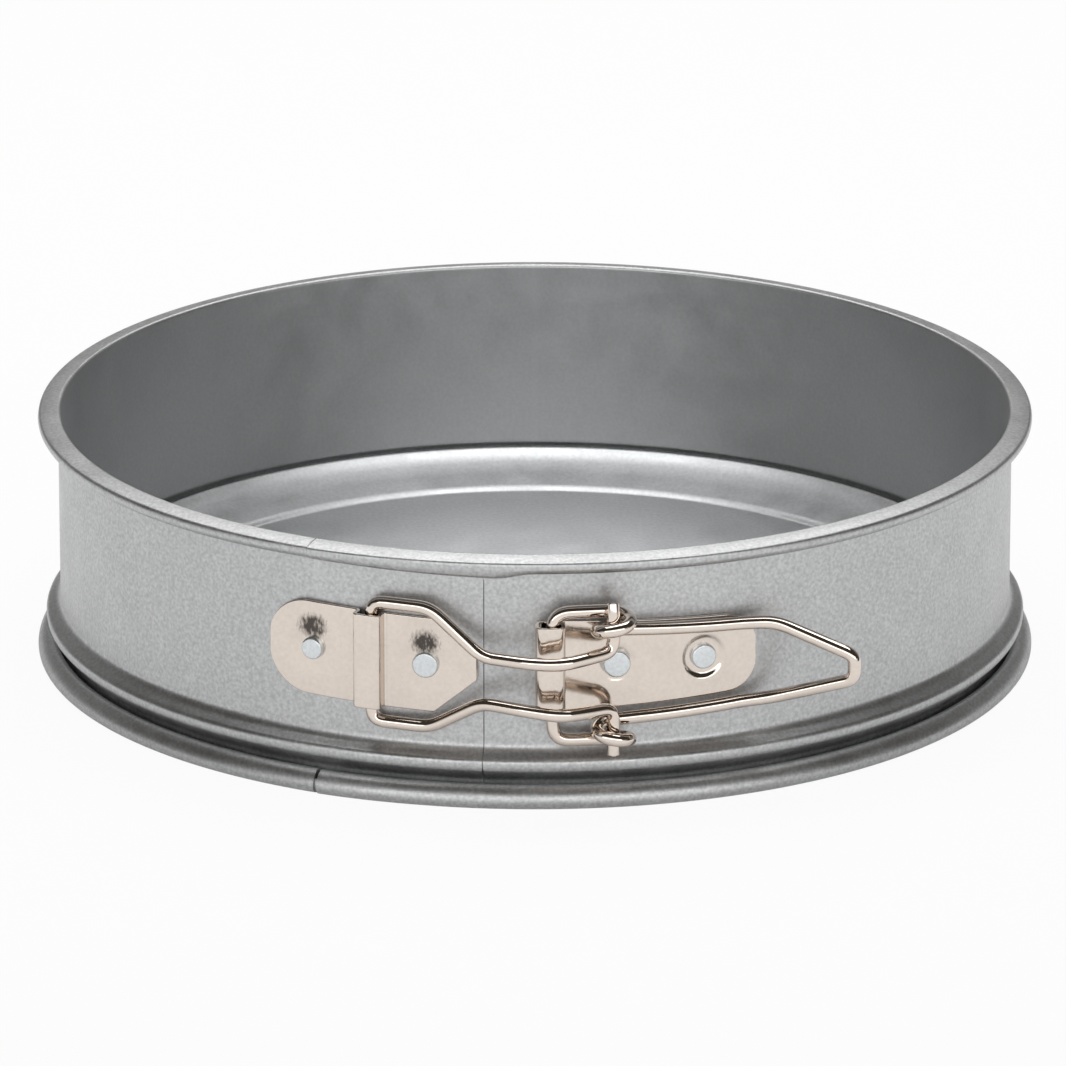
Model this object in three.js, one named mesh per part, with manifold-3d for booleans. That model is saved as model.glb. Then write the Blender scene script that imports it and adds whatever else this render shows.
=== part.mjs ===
// Springform cake tin: a sprung steel band with rolled edges, a stepped base
// held in the band's groove, and a wire toggle latch that draws the band shut.
// Millimetres. The ring axis is Z, the latch faces -Y and the tin stands at z = 0.

import * as THREE from 'three';
import { mergeVertices } from 'three/addons/utils/BufferGeometryUtils.js';
import Module from 'manifold-3d';

const wasm = await Module();
wasm.setup();

// Band: one steel strip with a rolled top edge, a groove bead and a rolled foot
const INNER_D = 240;
const TIN_H = 64.4;
const SHEET = 0.7;
const RIM_OUT = 5.7;
const RIM_TALL = 4.2;
const FOOT_OUT = 5.8;
const FOOT_TALL = 5.1;
const ROLL_END = 122;
const BEAD_OUT = 3.6;
const BEAD_Z = 11;
const BEAD_TOP_Z = 13.5;
const NECK_Z = 8.2;
const NECK_OUT = 0.25;

// Overlap of the band's two ends, as distances along the wall from the latch line
const SEAM_S = -12.6;
const RIM_TONGUE_S = -55;
const RIM_NECK = 4.4;
const FOOT_TONGUE_S = -52.6;
const LAP = 8;
const LAP_ROOT = 7;
const LAP_LOW_Z = 17;
const LAP_HIGH_Z = 57;

// Base: floor, toe, sloping shelf and raised edge in one sheet, with a lip that lies in the groove
const BASE_SHEET = 0.8;
const FLOOR_Z = 6.9;
const TOE_RUN = 1.8;
const TOE_RISE = 2;
const SHELF_RUN = 10.9;
const SHELF_RISE = 3.5;
const EDGE_RUN = 2.2;
const EDGE_RISE = 2;
const EDGE_IN = 2.1;
const LIP_OUT = 1.6;
const LIP_REST = 0.45;

// Latch: two riveted brackets, a draw link and a lever, both of bent wire
const LATCH_Z = 34.2;
const WIRE_D = 3.3;
const PLATE = 1.0;
const LINK_PLATE_S = -67.7;
const LINK_PLATE_END_S = -13.9;
const LINK_PLATE_H = 24;
const LINK_CORNER = 11;
const LINK_NOSE_H = 5.8;
const LINK_NOSE_RUN = 10.6;
const LINK_RISE = 1.3;
const LINK_TILT = 0.035;
const TUNNEL_S = -40.4;
const TUNNEL_PLAY = 0.85;
const LEVER_PLATE_END_S = 55.4;
const LEVER_PLATE_H = 23;
const LEVER_END_H = 20.2;
const LEVER_CORNER = 8.5;
const LEVER_RISE = 2;
const KNUCKLE_S = 4.1;
const KNUCKLE_H = 22.6;
const KNUCKLE_LIFT = 0.6;
const RIVET_S = [-55.6, -26.6, 19.7, 41.5];
const RIVET_D = 3.8;
const RIVET_HEAD_D = 6.2;
const RIVET_HEAD_T = 1.5;
const RIVET_TAIL_D = 5.4;
const RIVET_TAIL_T = 0.8;

// Lever: eye centre from the pivot (right, out), heights above the latch line
const EYE_RIGHT = 14.8;
const EYE_OUT = 2.2;
const EYE_D = 11.6;
const ARM_Z = 16.4;
const HANDLE_Z = 11.6;
const HANDLE_REST_S = 50;
const HANDLE_BEND_S = 58.5;
const HANDLE_BEND_H = 4.95;
const HANDLE_BEND_Z = 9.65;
const TIP_Z = 3;
const TIP_RIGHT = 73.5;
const TIP_OUT = -7;
const WIRE_END_GAP = 4.2;

// Draw link: heights above the latch line and above the wall
const LINK_WIDE_Z = 15.3;
const LINK_WAIST_Z = 5.9;
const LINK_END_Z = 7.2;
const LINK_WAIST_S = -12.2;
const LINK_WAIST_H = 6.8;
const LINK_ARCH_H = 14.4;
const LINK_SHOULDER_S = -25;
const LINK_SHOULDER_H = 3.2;
const LINK_BEND_R = 2.6;

// Clearances
const GAP = 0.3;
const BORE_GAP = 0.35;
const SLIDE_GAP = 0.5;
const EYE_GAP = 0.5;

// Facets
const RING_STEPS = 64;
const ROLL_STEPS = 10;
const BEND_STEPS = 5;
const TURN_STEPS = 14;
const WIRE_SIDES = 4;
const WIRE_STEP = 1.3;

// Derived sizes
const wallIn = INNER_D / 2;
const wallOut = wallIn + SHEET;
const wallMid = wallIn + SHEET / 2;
const rimOut = wallOut + RIM_OUT;
const footOut = wallOut + FOOT_OUT;
const rimMidZ = TIN_H - RIM_TALL / 2;
const rimLowZ = TIN_H - RIM_TALL;
const lapTopZ = rimLowZ - GAP;
const lapFootZ = FOOT_TALL + GAP;
const wireR = WIRE_D / 2;
const plateTop = GAP + PLATE;
const tunnelIn = WIRE_D + 2 * TUNNEL_PLAY;
const tunnelRoof = WIRE_D + 2 * GAP;
const tunnelSpan = tunnelIn / 2 + PLATE;
const boreR = wireR + BORE_GAP;
const knuckleR = boreR + PLATE;
const knuckleLift = GAP + KNUCKLE_LIFT + knuckleR;
const eyeR = (EYE_D - WIRE_D) / 2;
const backHinge = Math.max(rimOut, footOut) + GAP;

const vec2 = (x, y) => new THREE.Vector2(x, y);
const vec3 = (x, y, z) => new THREE.Vector3(x, y, z);
const angleAt = (s) => s / wallOut;

// Point above the wall: s along it from the latch line, h out from it, z above the latch line
function onWall(s, h, z = 0) {
  const a = angleAt(s);
  const r = wallOut + h;
  return vec3(r * Math.sin(a), -r * Math.cos(a), LATCH_Z + z);
}

const linkPin = onWall(TUNNEL_S + TUNNEL_PLAY - GAP, GAP + wireR);
const leverPin = onWall(KNUCKLE_S, knuckleLift);
const eye = leverPin.clone().add(vec3(EYE_RIGHT, -EYE_OUT, 0));

// Closed, outward facing solid from a geometry
function solid(geometry) {
  const bare = new THREE.BufferGeometry();
  bare.setAttribute('position', geometry.getAttribute('position'));
  if (geometry.index) {
    bare.setIndex(geometry.index);
  }
  const merged = mergeVertices(bare, 1e-4);
  const p = merged.getAttribute('position').array;
  const faces = [];
  let volume = 0;
  for (let i = 0; i < merged.index.count; i += 3) {
    const [a, b, c] = [0, 1, 2].map((k) => merged.index.getX(i + k));
    if (a === b || b === c || a === c) {
      continue;
    }
    faces.push(a, b, c);
    const va = vec3().fromArray(p, 3 * a);
    const vb = vec3().fromArray(p, 3 * b);
    const vc = vec3().fromArray(p, 3 * c);
    volume += va.dot(vb.cross(vc));
  }
  if (volume < 0) {
    faces.reverse();
  }
  const mesh = new wasm.Mesh({
    numProp: 3,
    vertProperties: new Float32Array(p),
    triVerts: new Uint32Array(faces),
  });
  return new wasm.Manifold(mesh);
}

// Arc of an ellipse in the radius-height plane
function arc(r, z, a, b, from, to, steps) {
  return Array.from({ length: steps + 1 }, (_, i) => {
    const t = THREE.MathUtils.degToRad(from + ((to - from) * i) / steps);
    return vec2(r + a * Math.cos(t), z + b * Math.sin(t));
  });
}

// Path whose inner corners are rounded over the given reach
function rounded(points, reach, steps = BEND_STEPS) {
  const out = [points[0]];
  for (let i = 1; i < points.length - 1; i += 1) {
    const [before, corner, after] = [points[i - 1], points[i], points[i + 1]];
    const room = 0.49 * Math.min(before.distanceTo(corner), after.distanceTo(corner));
    const cut = Math.min(reach, room);
    const from = corner.clone().add(before.clone().sub(corner).setLength(cut));
    const to = corner.clone().add(after.clone().sub(corner).setLength(cut));
    for (let k = 0; k <= steps; k += 1) {
      const t = k / steps;
      const first = from.clone().lerp(corner, t);
      out.push(first.lerp(corner.clone().lerp(to, t), t));
    }
  }
  out.push(points[points.length - 1]);
  return out;
}

// Outline of a sheet of the given thickness along its middle line
function sheetOutline(line, thickness) {
  const left = [];
  const right = [];
  line.forEach((point, i) => {
    const before = line[Math.max(i - 1, 0)];
    const after = line[Math.min(i + 1, line.length - 1)];
    const d1 = point.clone().sub(before).normalize();
    const d2 = after.clone().sub(point).normalize();
    const along = d1.clone().add(d2).normalize();
    const unit = d2.lengthSq() > 0 ? d2 : d1;
    const normal = vec2(-along.y, along.x);
    const mitre = normal.dot(vec2(-unit.y, unit.x));
    normal.multiplyScalar(thickness / 2 / mitre);
    left.push(point.clone().add(normal));
    right.unshift(point.clone().sub(normal));
  });
  return left.concat(right);
}

// Solid of revolution about Z from a closed outline
function ring(outline, steps = RING_STEPS) {
  const lathe = new THREE.LatheGeometry([...outline, outline[0]], steps);
  return solid(lathe.rotateX(Math.PI / 2));
}

// Vertical prism between two distances along the wall
function sector(fromS, toS) {
  const reach = 2 * backHinge;
  const shape = new THREE.Shape([vec2(0, 0)]);
  const steps = Math.max(1, Math.ceil(Math.abs(toS - fromS) / (wallOut / 2)));
  for (let i = 0; i <= steps; i += 1) {
    const a = angleAt(fromS + ((toS - fromS) * i) / steps);
    shape.lineTo(reach * Math.sin(a), -reach * Math.cos(a));
  }
  const prism = new THREE.ExtrudeGeometry(shape, { depth: 2 * TIN_H, bevelEnabled: false });
  return solid(prism.translate(0, 0, -TIN_H / 2));
}

function slab(lowZ, highZ) {
  const side = 4 * backHinge;
  const box = new THREE.BoxGeometry(side, side, highZ - lowZ);
  return solid(box.translate(0, 0, (lowZ + highZ) / 2));
}

// Prism seen from the front: an outline in X and height, through the front wall
function frontPrism(shape, rise, tilt = 0) {
  const prism = new THREE.ExtrudeGeometry(shape, { depth: 2 * backHinge, bevelEnabled: false });
  const shear = new THREE.Matrix4().makeShear(0, -tilt, 0, 0, 0, 0);
  return solid(prism.rotateX(Math.PI / 2).applyMatrix4(shear).translate(0, 0, LATCH_Z + rise));
}

// Upright plate from its outline in plan, given as [s, h] points on the wall
function plateFromPlan(points, height) {
  const shape = new THREE.Shape();
  points.forEach(([s, h], i) => {
    const [s0, h0] = points[(i + points.length - 1) % points.length];
    const steps = Math.max(1, Math.ceil(Math.abs(s - s0) / 3));
    for (let k = 1; k <= steps; k += 1) {
      const p = onWall(s0 + ((s - s0) * k) / steps, h0 + ((h - h0) * k) / steps);
      if (i === 0 && k === 1) {
        shape.moveTo(p.x, p.y);
      } else {
        shape.lineTo(p.x, p.y);
      }
    }
  });
  const prism = new THREE.ExtrudeGeometry(shape, { depth: height, bevelEnabled: false });
  return solid(prism.translate(0, 0, LATCH_Z - height / 2));
}

// Turned piece whose axis points out of the wall at s, z above the latch line
function turned(outline, s, z) {
  const lathe = new THREE.LatheGeometry([...outline, outline[0]], TURN_STEPS);
  const out = onWall(s, 1).sub(onWall(s, 0));
  const turn = new THREE.Quaternion().setFromUnitVectors(vec3(0, 1, 0), out);
  const seat = onWall(s, 0, z);
  return solid(lathe.applyQuaternion(turn).translate(seat.x, seat.y, seat.z));
}

function rivetHole(s, z) {
  const r = RIVET_D / 2 + GAP;
  const reach = plateTop + SHEET + 2;
  return turned([vec2(0, -reach), vec2(r, -reach), vec2(r, reach), vec2(0, reach)], s, z);
}

function upright(radius, height, place, rise) {
  const post = new THREE.CylinderGeometry(radius, radius, height, 28);
  return solid(post.rotateX(Math.PI / 2).translate(place.x, place.y, LATCH_Z + rise));
}

// Round wire along a route of points, in even steps
function wire(route, radius) {
  const lengths = [0];
  for (let i = 1; i < route.length; i += 1) {
    lengths.push(lengths[i - 1] + route[i].distanceTo(route[i - 1]));
  }
  const total = lengths[lengths.length - 1];
  const steps = Math.round(total / WIRE_STEP);
  const even = [];
  let leg = 1;
  for (let i = 0; i <= steps; i += 1) {
    const want = (total * i) / steps;
    while (leg < route.length - 1 && lengths[leg] < want) {
      leg += 1;
    }
    const t = (want - lengths[leg - 1]) / (lengths[leg] - lengths[leg - 1]);
    even.push(route[leg - 1].clone().lerp(route[leg], t));
  }
  const shape = new THREE.Shape().absarc(0, 0, radius, 0, 2 * Math.PI);
  const tube = new THREE.ExtrudeGeometry(shape, {
    extrudePath: new THREE.CatmullRomCurve3(even),
    steps,
    curveSegments: WIRE_SIDES,
  });
  return { body: solid(tube), even };
}

// Least gap between stretches of a wire that are not neighbours along it
function selfGap(even, diameter) {
  const apart = Math.ceil((2.2 * diameter) / WIRE_STEP);
  let least = Infinity;
  for (let i = 0; i < even.length; i += 1) {
    for (let k = i + apart; k < even.length; k += 1) {
      least = Math.min(least, even[i].distanceTo(even[k]) - diameter);
    }
  }
  return least;
}

// Band cross-section: rolled rim, wall, groove bead, neck and rolled foot
const rimRoll = arc(
  (wallMid + rimOut - SHEET / 2) / 2,
  rimMidZ,
  (rimOut - SHEET / 2 - wallMid) / 2,
  (RIM_TALL - SHEET) / 2,
  -ROLL_END,
  180,
  ROLL_STEPS,
);
const neckMid = wallMid + NECK_OUT;
const footRoll = arc(
  (neckMid + footOut - SHEET / 2) / 2,
  FOOT_TALL / 2,
  (footOut - SHEET / 2 - neckMid) / 2,
  (FOOT_TALL - SHEET) / 2,
  180,
  360 + ROLL_END - 4,
  ROLL_STEPS,
);
const bead = rounded(
  [
    rimRoll[rimRoll.length - 1],
    vec2(wallMid, BEAD_TOP_Z),
    vec2(wallMid + BEAD_OUT, BEAD_Z),
    vec2(neckMid, NECK_Z),
    footRoll[0],
  ],
  1.3,
  2,
);
const bandLine = [...rimRoll.slice(0, -1), ...bead, ...footRoll.slice(1)];
const bandRing = ring(sheetOutline(bandLine, SHEET));

// The strip is split at the back, where it bends least, into two halves
const halfTurn = Math.PI * wallOut;
const backGap = solid(new THREE.BoxGeometry(GAP, backHinge, 3 * TIN_H).translate(0, backHinge, 0));
const overFoot = slab(lapFootZ + GAP, 2 * TIN_H);
const underRim = slab(-TIN_H, lapTopZ - GAP);

const neckStub = ring(arc(
  (wallMid + rimOut - SHEET / 2) / 2,
  rimMidZ,
  (rimOut - SHEET / 2 - wallMid) / 2 - SHEET / 4,
  (RIM_TALL - SHEET) / 2 - SHEET / 4,
  0,
  342,
  18,
)).intersect(sector(RIM_TONGUE_S - RIM_NECK - 1, RIM_TONGUE_S - SLIDE_GAP));
let bandLeft = bandRing.intersect(sector(-halfTurn, RIM_TONGUE_S - RIM_NECK))
  .add(bandRing.intersect(sector(-halfTurn / 2, FOOT_TONGUE_S - SLIDE_GAP)).intersect(underRim))
  .add(bandRing.intersect(sector(-halfTurn / 2, SEAM_S)).intersect(underRim).intersect(overFoot))
  .add(neckStub)
  .subtract(backGap);

const lapOutline = (outR) => [
  vec2(wallIn - GAP - SHEET, LAP_LOW_Z),
  vec2(outR, LAP_LOW_Z),
  vec2(outR, LAP_HIGH_Z),
  vec2(wallIn - GAP - SHEET, LAP_HIGH_Z),
];
const seamEnd = SEAM_S + GAP;
let bandRight = bandRing.intersect(sector(seamEnd, halfTurn))
  .add(bandRing.intersect(sector(RIM_TONGUE_S, seamEnd + 1)).intersect(slab(lapTopZ, 2 * TIN_H)))
  .add(bandRing.intersect(sector(FOOT_TONGUE_S, seamEnd + 1)).intersect(slab(-TIN_H, lapFootZ)))
  .add(ring(lapOutline(wallIn - GAP)).intersect(sector(SEAM_S - LAP, seamEnd + LAP_ROOT)))
  .add(ring(lapOutline(wallMid)).intersect(sector(seamEnd, seamEnd + LAP_ROOT)))
  .subtract(backGap);

// Base sheet from the middle of the floor out to the lip
const lipZ = BEAD_Z - (BEAD_Z - NECK_Z) / 2 + LIP_REST;
const half = BASE_SHEET / 2;
const edgeR = wallIn - EDGE_IN;
const shelfR = edgeR - EDGE_RUN;
const toeR = shelfR - SHELF_RUN;
const toeZ = FLOOR_Z + TOE_RISE;
const shelfZ = toeZ + SHELF_RISE;
const baseLine = rounded(
  [
    vec2(0, FLOOR_Z - half),
    vec2(toeR - TOE_RUN, FLOOR_Z - half),
    vec2(toeR, toeZ - half),
    vec2(shelfR, shelfZ - half),
    vec2(edgeR, shelfZ + EDGE_RISE - half),
    vec2(wallIn, lipZ + half),
    vec2(wallIn + LIP_OUT, lipZ + half),
  ],
  2.5,
  2,
);
const base = ring(sheetOutline(baseLine, BASE_SHEET));

// Link bracket: a plate on the wall with a raised strap over the link's cross-bar
const strapFrom = TUNNEL_S - tunnelSpan;
const strapTo = TUNNEL_S + tunnelSpan;
const linkPlan = [
  [LINK_PLATE_S, GAP],
  [strapFrom + PLATE, GAP],
  [strapFrom + PLATE, tunnelRoof],
  [strapTo - PLATE, tunnelRoof],
  [strapTo - PLATE, GAP],
  [LINK_PLATE_END_S, GAP],
  [LINK_PLATE_END_S, plateTop],
  [strapTo, plateTop],
  [strapTo, tunnelRoof + PLATE],
  [strapFrom, tunnelRoof + PLATE],
  [strapFrom, plateTop],
  [LINK_PLATE_S, plateTop],
];
const across = (s) => onWall(s, plateTop).x;
const linkLeft = across(LINK_PLATE_S);
const linkRight = across(LINK_PLATE_END_S);
const linkHigh = LINK_PLATE_H / 2;
const linkFace = new THREE.Shape()
  .moveTo(linkLeft + LINK_CORNER, -linkHigh)
  .lineTo(linkRight - LINK_NOSE_RUN, -linkHigh)
  .lineTo(linkRight, -LINK_NOSE_H / 2)
  .lineTo(linkRight, LINK_NOSE_H / 2)
  .lineTo(linkRight - LINK_NOSE_RUN, linkHigh)
  .lineTo(linkLeft + LINK_CORNER, linkHigh)
  .absarc(linkLeft + LINK_CORNER, linkHigh - LINK_CORNER, LINK_CORNER, Math.PI / 2, Math.PI)
  .absarc(linkLeft + LINK_CORNER, LINK_CORNER - linkHigh, LINK_CORNER, Math.PI, 1.5 * Math.PI);
// The bracket sits a little askew: it rises to the left
const linkRiseAt = (s) => LINK_RISE + LINK_TILT * (across(RIVET_S[1]) - across(s));
let linkBracket = plateFromPlan(linkPlan, 2 * LINK_PLATE_H)
  .intersect(frontPrism(linkFace, LINK_RISE + LINK_TILT * across(RIVET_S[1]), LINK_TILT));

// Lever bracket: a plate whose near end is rolled round the lever's pivot
const leverPlan = [
  [KNUCKLE_S, GAP],
  [LEVER_PLATE_END_S, GAP],
  [LEVER_PLATE_END_S, plateTop],
  [KNUCKLE_S, plateTop],
];
const leverRight = across(LEVER_PLATE_END_S);
const leverHigh = LEVER_PLATE_H / 2;
const leverLow = LEVER_END_H / 2;
const leverArcX = leverRight - LEVER_CORNER;
const leverFace = new THREE.Shape()
  .moveTo(0, -leverHigh)
  .lineTo(leverArcX, -leverLow)
  .absarc(leverArcX, LEVER_CORNER - leverLow, LEVER_CORNER, -Math.PI / 2, 0)
  .absarc(leverArcX, leverLow - LEVER_CORNER, LEVER_CORNER, 0, Math.PI / 2)
  .lineTo(0, leverHigh);
let leverBracket = plateFromPlan(leverPlan, 2 * LEVER_PLATE_H)
  .intersect(frontPrism(leverFace, LEVER_RISE))
  .add(upright(knuckleR, KNUCKLE_H, leverPin, LEVER_RISE))
  .subtract(upright(boreR, 2 * KNUCKLE_H, leverPin, LEVER_RISE));

// Rivets: shank through plate and wall, domed head outside, flat tail inside
const headZ = plateTop + GAP;
const tailZ = -SHEET - GAP;
const rivetOutline = [
  vec2(0, tailZ - RIVET_TAIL_T),
  vec2(RIVET_TAIL_D / 2, tailZ - RIVET_TAIL_T),
  vec2(RIVET_TAIL_D / 2, tailZ),
  vec2(RIVET_D / 2, tailZ),
  vec2(RIVET_D / 2, headZ),
  vec2(RIVET_HEAD_D / 2, headZ),
  vec2(RIVET_HEAD_D / 2, headZ + RIVET_HEAD_T / 3),
  ...arc(0, headZ + RIVET_HEAD_T / 3, RIVET_HEAD_D / 2, (2 * RIVET_HEAD_T) / 3, 0, 90, 5).slice(1),
];
const rivetRise = (s) => (s < SEAM_S ? linkRiseAt(s) : LEVER_RISE);
const rivets = RIVET_S.map((s) => turned(rivetOutline, s, rivetRise(s)));
RIVET_S.forEach((s) => {
  const hole = rivetHole(s, rivetRise(s));
  if (s < SEAM_S) {
    bandLeft = bandLeft.subtract(hole);
    linkBracket = linkBracket.subtract(hole);
  } else {
    bandRight = bandRight.subtract(hole);
    leverBracket = leverBracket.subtract(hole);
  }
});

// Lever wire: from inside the knuckle up, along the arm, once round the eye and out to the tip
const toEye = Math.atan2(-EYE_OUT, EYE_RIGHT);
const eyeReach = Math.hypot(EYE_RIGHT, EYE_OUT);
const armTurn = toEye + Math.asin(eyeR / eyeReach);
const touch = vec3(-Math.sin(armTurn), Math.cos(armTurn), 0).multiplyScalar(eyeR);
const tip = leverPin.clone().add(vec3(TIP_RIGHT, -TIP_OUT, 0));
const armEnd = eye.clone().add(touch);
const armEndS = wallOut * Math.atan2(armEnd.x, -armEnd.y);
const handleH = plateTop + GAP + wireR;
const up = vec3(0, 0, 1);

function leverHalf(side) {
  const lift = (point, z) => point.clone().setZ(LATCH_Z + side * z);
  const arm = rounded(
    [lift(leverPin, WIRE_END_GAP / 2), lift(leverPin, ARM_Z), lift(armEnd, ARM_Z)],
    4,
  );
  const turns = 24;
  const coil = [];
  for (let i = 1; i < turns; i += 1) {
    const t = i / turns;
    const spoke = touch.clone().applyAxisAngle(up, -2 * Math.PI * t);
    coil.push(lift(eye.clone().add(spoke), ARM_Z + (HANDLE_Z - ARM_Z) * t));
  }
  // The handle lies along the bracket, leaves it at its end and turns out to the tip
  const sag = (s) => (s - armEndS) / (HANDLE_BEND_S - armEndS);
  const along = (s, h) => onWall(s, h, side * (HANDLE_Z + (HANDLE_BEND_Z - HANDLE_Z) * sag(s)));
  const rest = [0.3, 0.5, 0.75, 1].map((t) => along(armEndS + t * (HANDLE_REST_S - armEndS), handleH));
  const handle = rounded(
    [
      lift(armEnd, HANDLE_Z),
      ...rest,
      along(HANDLE_BEND_S, HANDLE_BEND_H),
      lift(tip, TIP_Z),
      lift(tip, 0),
    ],
    3.2,
  );
  return [...arm, ...coil, ...handle];
}
const leverRoute = [...leverHalf(1), ...leverHalf(-1).reverse().slice(1)];
const lever = wire(leverRoute, wireR);
console.log('lever wire, least gap to itself:', selfGap(lever.even, WIRE_D).toFixed(2), 'mm');

// Draw link: cross-bar in the strap, legs drawn in to a waist, arched over the knuckle.
// Each leg ends just short of the lever's eye, which turns about the end of the link.
const linkTopZ = HANDLE_Z - wireR - EYE_GAP;
const eyeS = wallOut * Math.atan2(eye.x, -eye.y);
const eyeH = Math.hypot(eye.x, eye.y) - wallOut;
const archS = KNUCKLE_S + knuckleR / 2;
const legEnd = (part) => LINK_WAIST_Z + (LINK_END_Z - LINK_WAIST_Z) * part;

function linkHalf(side) {
  const at = (s, h, z) => onWall(s, h, side * z);
  const bar = linkPin.clone().setZ(LATCH_Z);
  const wideZ = LINK_WIDE_Z + side * LINK_RISE;
  return rounded(
    [
      bar,
      bar.clone().setZ(LATCH_Z + side * wideZ),
      at(LINK_SHOULDER_S, LINK_SHOULDER_H, wideZ),
      at(LINK_WAIST_S, LINK_WAIST_H, LINK_WAIST_Z),
      at(archS - 2 * knuckleR, 0.85 * LINK_ARCH_H, legEnd(0.2)),
      at(archS, LINK_ARCH_H, legEnd(0.5)),
      at((archS + eyeS) / 2, (LINK_ARCH_H + eyeH) / 2, legEnd(0.8)),
      at(eyeS, eyeH, LINK_END_Z),
      at(eyeS, eyeH, linkTopZ),
    ],
    LINK_BEND_R,
  );
}
const linkRoute = [...linkHalf(1).reverse(), ...linkHalf(-1).slice(1)];
const drawLink = wire(linkRoute, wireR);
console.log('link wire, least gap to itself:', selfGap(drawLink.even, WIRE_D).toFixed(2), 'mm');

// Assembly
const finish = {
  coated: { color: 0xb9bbbd, roughness: 0.42, metalness: 0.75 },
  floor: { color: 0xc2c5c9, roughness: 0.36, metalness: 0.75 },
  nickel: { color: 0xd8cec4, roughness: 0.2, metalness: 0.95 },
  rivet: { color: 0xd4d9dc, roughness: 0.35, metalness: 0.85 },
};

function piece(name, body, look) {
  const made = body.getMesh();
  const geometry = new THREE.BufferGeometry();
  geometry.setAttribute('position', new THREE.BufferAttribute(made.vertProperties, 3));
  geometry.setIndex(new THREE.BufferAttribute(made.triVerts, 1));
  geometry.computeVertexNormals();
  const mesh = new THREE.Mesh(geometry, new THREE.MeshStandardMaterial(finish[look]));
  mesh.name = name;
  return mesh;
}

const tin = new THREE.Group();
tin.name = 'springform_cake_tin';
tin.add(
  piece('base', base, 'floor'),
  piece('band_left', bandLeft, 'coated'),
  piece('band_right', bandRight, 'coated'),
  piece('link_bracket', linkBracket, 'nickel'),
  piece('lever_bracket', leverBracket, 'nickel'),
  piece('draw_link', drawLink.body, 'nickel'),
  piece('lever', lever.body, 'nickel'),
  piece('link_rivet_outer', rivets[0], 'rivet'),
  piece('link_rivet_inner', rivets[1], 'rivet'),
  piece('lever_rivet_inner', rivets[2], 'rivet'),
  piece('lever_rivet_outer', rivets[3], 'rivet'),
);

export default tin;
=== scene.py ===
"""Springform cake tin with a wire toggle latch, on a white table in soft studio light."""

import math

import bmesh
import bpy
import numpy as np
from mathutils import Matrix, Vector


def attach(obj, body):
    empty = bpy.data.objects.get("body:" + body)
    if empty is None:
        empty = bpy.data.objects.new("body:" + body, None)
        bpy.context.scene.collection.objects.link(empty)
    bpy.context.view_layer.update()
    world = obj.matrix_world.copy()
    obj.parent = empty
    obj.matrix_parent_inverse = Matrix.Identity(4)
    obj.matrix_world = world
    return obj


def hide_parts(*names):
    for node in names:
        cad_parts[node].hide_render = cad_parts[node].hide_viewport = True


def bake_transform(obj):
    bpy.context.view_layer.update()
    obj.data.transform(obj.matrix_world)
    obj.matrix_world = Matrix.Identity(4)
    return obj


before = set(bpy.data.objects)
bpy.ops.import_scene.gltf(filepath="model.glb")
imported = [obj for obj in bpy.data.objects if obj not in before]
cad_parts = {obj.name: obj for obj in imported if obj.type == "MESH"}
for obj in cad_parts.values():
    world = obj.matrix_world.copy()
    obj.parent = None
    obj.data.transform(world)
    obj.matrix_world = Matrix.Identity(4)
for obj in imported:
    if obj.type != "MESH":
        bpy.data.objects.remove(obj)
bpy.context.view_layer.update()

# The tin's sizes are in millimetres, those of the studio in metres
MM = 0.001

# Band: rolled rim, wall, groove bead, neck and rolled foot
INNER_R = 120.0
TIN_H = 64.4
SHEET = 0.7
RIM_OUT = 5.15
RIM_TALL = 4.1
RIM_FACE_Z = 62.1
FOOT_OUT = 5.8
FOOT_TALL = 6.0
FOOT_NOSE_Z = 2.3
BEAD_OUT = 3.6
BEAD_Z = 11.0
BEAD_NOSE = 0.95
BEAD_TOP_Z = 15.0
NECK_Z = 6.8
NECK_OUT = 0.25

# Rim's crown lies this far out from the wall and down from the top, its shoulder in from the edge and down
RIM_CROWN = (2.8, 0.36)
RIM_SHOULDER = (0.25, 0.85)

# Bead's upper slope breaks this far out from the wall, at this height
BEAD_STEP = (1.0, 13.5)

# Foot's flatness above and below its nose, and the degrees at which its roll starts and ends
FOOT_FLAT = (1.7, 2.4)
FOOT_TURN = (180.0, 478.0)

# Where the bends start before each corner of the section, and the steps along it
RIM_BENDS = [0.6, 0.8, 0.7, 0.3, 1.0, 0.5]
BEAD_BENDS = [0.9, 0.9, 0.7, 0.7, 1.1]
RIM_STEP = 0.2
FOOT_STEP = 0.24
BAND_STEP = 0.4

# Overlap of the band's ends: distances along the wall from the latch line, heights and gaps
SEAM_S = -12.6
SEAM_GAP = 0.3
SEAM_BACK_S = (-14.0, -11.4)
SEAM_BACK_LOW = 2.0
RIM_TONGUE_S = -55.0
FOOT_TONGUE_S = -52.6
SLIDE_GAP = 0.25
FOOT_NOTCH = 1.0
LEFT_TOP_Z = 59.6
LEFT_LOW_Z = 4.9
TONGUE_TOP_Z = 59.9
TONGUE_LOW_Z = 4.7
LAP_S = (-20.6, -5.3)
LAP_Z = (17.0, 57.0)
LAP_GAP = 0.3

# Cores that fill the left half's rolls where they end: reach under the tongue and away from it, scale,
# and the share of the foot's roll that they follow
CORE_IN = 3.0
CORE_OUT = 2.0
CORE_SCALE = 0.82
CORE_SHARE = 0.75

# The tongues' rolls swell at their tips and slim down over a run, and the rim droops most near the seam;
# both set in over a ramp out from the wall
ROLL_RAMP = 1.4
TONGUE_SWELL = 0.4
SWELL_RUN = 26.0
RIM_DROOP = 1.3
DROOP_S = (RIM_TONGUE_S, -8.5, -1.5)

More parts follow.
